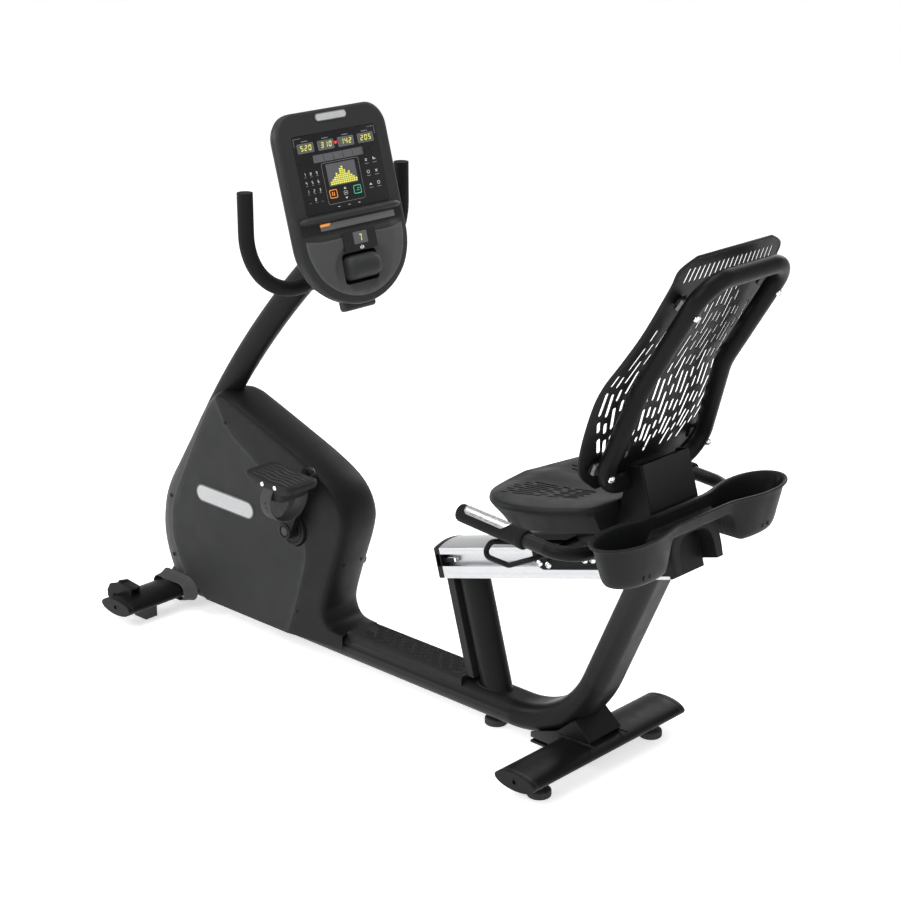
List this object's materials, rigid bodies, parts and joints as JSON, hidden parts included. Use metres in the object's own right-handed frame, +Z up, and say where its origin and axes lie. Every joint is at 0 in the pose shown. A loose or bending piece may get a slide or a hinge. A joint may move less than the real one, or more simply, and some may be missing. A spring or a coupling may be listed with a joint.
{
  "type": "recumbent exercise bike",
  "caption": "Recumbent exercise bike with enclosed drive, console on a curved mast, U-shaped bar, sliding bucket seat with mesh-slotted back, side grips and cup tubs.",
  "frame": {"origin": "middle of the overall length and width, on the floor", "axes": "+X forward, from the seat towards the console; +Y to the rider's left; +Z up"},
  "size_m": [1.7036, 0.578, 1.2667],
  "materials": {
    "frame_paint": "satin black powder coat with a fine texture",
    "dark_plastic": "fine-grained moulded plastic",
    "grey_plastic": "fine-grained grey moulded plastic",
    "boot_plastic": "light grey moulded plastic",
    "rubber": "dull black rubber",
    "foam": "closed-cell foam",
    "rail_metal": "brushed, extruded",
    "chrome": "bright plated",
    "steel": "machined",
    "iron": "cast, painted",
    "copper": "varnished copper windings on laminated steel",
    "badge": "silvered plastic",
    "screen": "glossy membrane",
    "lcd": "tinted window"
  },
  "bodies": {
    "frame": {"base_frame": "frame_paint", "front_post": "frame_paint", "post_cover": "dark_plastic", "step_deck": "dark_plastic", "front_stabiliser": "frame_paint", "rear_stabiliser": "frame_paint", "stabiliser_end_caps": "dark_plastic", "rear_saddle": "frame_paint", "front_pads": "rubber", "wheel_brackets": "frame_paint", "mast": "frame_paint", "seat_rail": "rail_metal", "rail_end_caps": "dark_plastic", "shroud_left": "grey_plastic", "shroud_right": "grey_plastic", "shroud_rear_cover": "dark_plastic", "boot_collars": "boot_plastic", "badges": "badge", "shroud_screws": "steel", "console_rear_shell": "dark_plastic", "console_front_shell": "dark_plastic", "display_overlay": "screen", "display_windows": "lcd", "handlebar": "frame_paint", "handlebar_grips": "foam", "crank_bearings": "steel", "drive_plates": "frame_paint", "generator_stator": "copper", "drive_belt": "rubber"},
    "crank": {"crank_axle": "steel", "crank_pulley": "steel", "left_crank_arm": "steel", "right_crank_arm": "steel"},
    "left_pedal": {"left_pedal": "dark_plastic", "left_pedal_strap": "rubber"},
    "right_pedal": {"right_pedal": "dark_plastic", "right_pedal_strap": "rubber"},
    "rotor": {"generator_rotor": "iron"},
    "seat": {"carriage": "frame_paint", "seat_bolts": "chrome", "seat_pan": "dark_plastic", "back_frame": "frame_paint", "back_shell": "dark_plastic", "back_clips": "dark_plastic", "back_bracket": "frame_paint", "cup_holder": "dark_plastic", "carriage_rear_cover": "dark_plastic", "side_handles": "frame_paint", "handle_grips": "foam", "pulse_plates": "chrome"},
    "front_rollers": {"front_rollers": "rubber"},
    "rear_rollers": {"rear_rollers": "rubber"},
    "release_lever": {"release_lever": "frame_paint"},
    "lock_shoe": {"lock_shoe": "rubber"},
    "left_wheel": {"left_wheel": "rubber"},
    "right_wheel": {"right_wheel": "rubber"},
    "rear_left_foot": {"rear_left_foot": "rubber"},
    "rear_right_foot": {"rear_right_foot": "rubber"},
    "centre_foot": {"centre_foot": "rubber"},
    "resistance_paddle": {"resistance_paddle": "dark_plastic"}
  },
  "joints": [
    {"name": "crank_turn", "type": "hinge", "parent": "frame", "child": "crank", "pos_m": [0.338, 0, 0.313], "axis": [0, 1, 0], "continuous": true},
    {"name": "left_pedal_turn", "type": "hinge", "parent": "crank", "child": "left_pedal", "pos_m": [0.26348, 0.146, 0.46579], "axis": [0, 1, 0], "continuous": true},
    {"name": "right_pedal_turn", "type": "hinge", "parent": "crank", "child": "right_pedal", "pos_m": [0.41252, -0.146, 0.16021], "axis": [0, 1, 0], "continuous": true},
    {"name": "rotor_turn", "type": "hinge", "parent": "frame", "child": "rotor", "pos_m": [0.558, 0, 0.24], "axis": [0, 1, 0], "continuous": true},
    {"name": "seat_travel", "type": "slide", "parent": "frame", "child": "seat", "axis": [0.9632, 0, -0.2689], "range_m": [0, 0.24]},
    {"name": "front_rollers_turn", "type": "hinge", "parent": "seat", "child": "front_rollers", "pos_m": [-0.40578, 0, 0.43808], "axis": [0, 1, 0], "range_deg": [-5, 900]},
    {"name": "rear_rollers_turn", "type": "hinge", "parent": "seat", "child": "rear_rollers", "pos_m": [-0.59842, 0, 0.49187], "axis": [0, 1, 0], "range_deg": [-5, 900]},
    {"name": "release_squeeze", "type": "hinge", "parent": "seat", "child": "release_lever", "pos_m": [-0.48968, 0, 0.50947], "axis": [0, -1, 0], "range_deg": [0, 10], "stiffness_Nm_per_rad": 6, "springref_deg": -8.59},
    {"name": "lock_lift", "type": "slide", "parent": "seat", "child": "lock_shoe", "axis": [0.2689, 0, 0.9632], "range_m": [0, 0.004]},
    {"name": "left_wheel_turn", "type": "hinge", "parent": "frame", "child": "left_wheel", "pos_m": [0.822, 0.19, 0.054], "axis": [0, 1, 0], "continuous": true},
    {"name": "right_wheel_turn", "type": "hinge", "parent": "frame", "child": "right_wheel", "pos_m": [0.822, -0.19, 0.054], "axis": [0, 1, 0], "continuous": true},
    {"name": "rear_left_foot_turn", "type": "hinge", "parent": "frame", "child": "rear_left_foot", "pos_m": [-0.51, 0.18, 0], "axis": [0, 0, 1], "continuous": true},
    {"name": "rear_right_foot_turn", "type": "hinge", "parent": "frame", "child": "rear_right_foot", "pos_m": [-0.51, -0.18, 0], "axis": [0, 0, 1], "continuous": true},
    {"name": "centre_foot_turn", "type": "hinge", "parent": "frame", "child": "centre_foot", "pos_m": [-0.232, 0, 0], "axis": [0, 0, 1], "continuous": true},
    {"name": "paddle_rock", "type": "hinge", "parent": "frame", "child": "resistance_paddle", "pos_m": [0.17842, 0, 0.93662], "axis": [0, 1, 0], "range_deg": [-10, 10], "stiffness_Nm_per_rad": 2}
  ],
  "couplings": [
    {"joint": "rotor_turn", "follows": "crank_turn", "ratio": 5.5},
    {"joint": "front_rollers_turn", "follows": "seat_travel", "rad_per_m": 64.516},
    {"joint": "rear_rollers_turn", "follows": "seat_travel", "rad_per_m": 64.516},
    {"joint": "lock_lift", "follows": "release_squeeze", "m_per_rad": 0.0229}
  ]
}
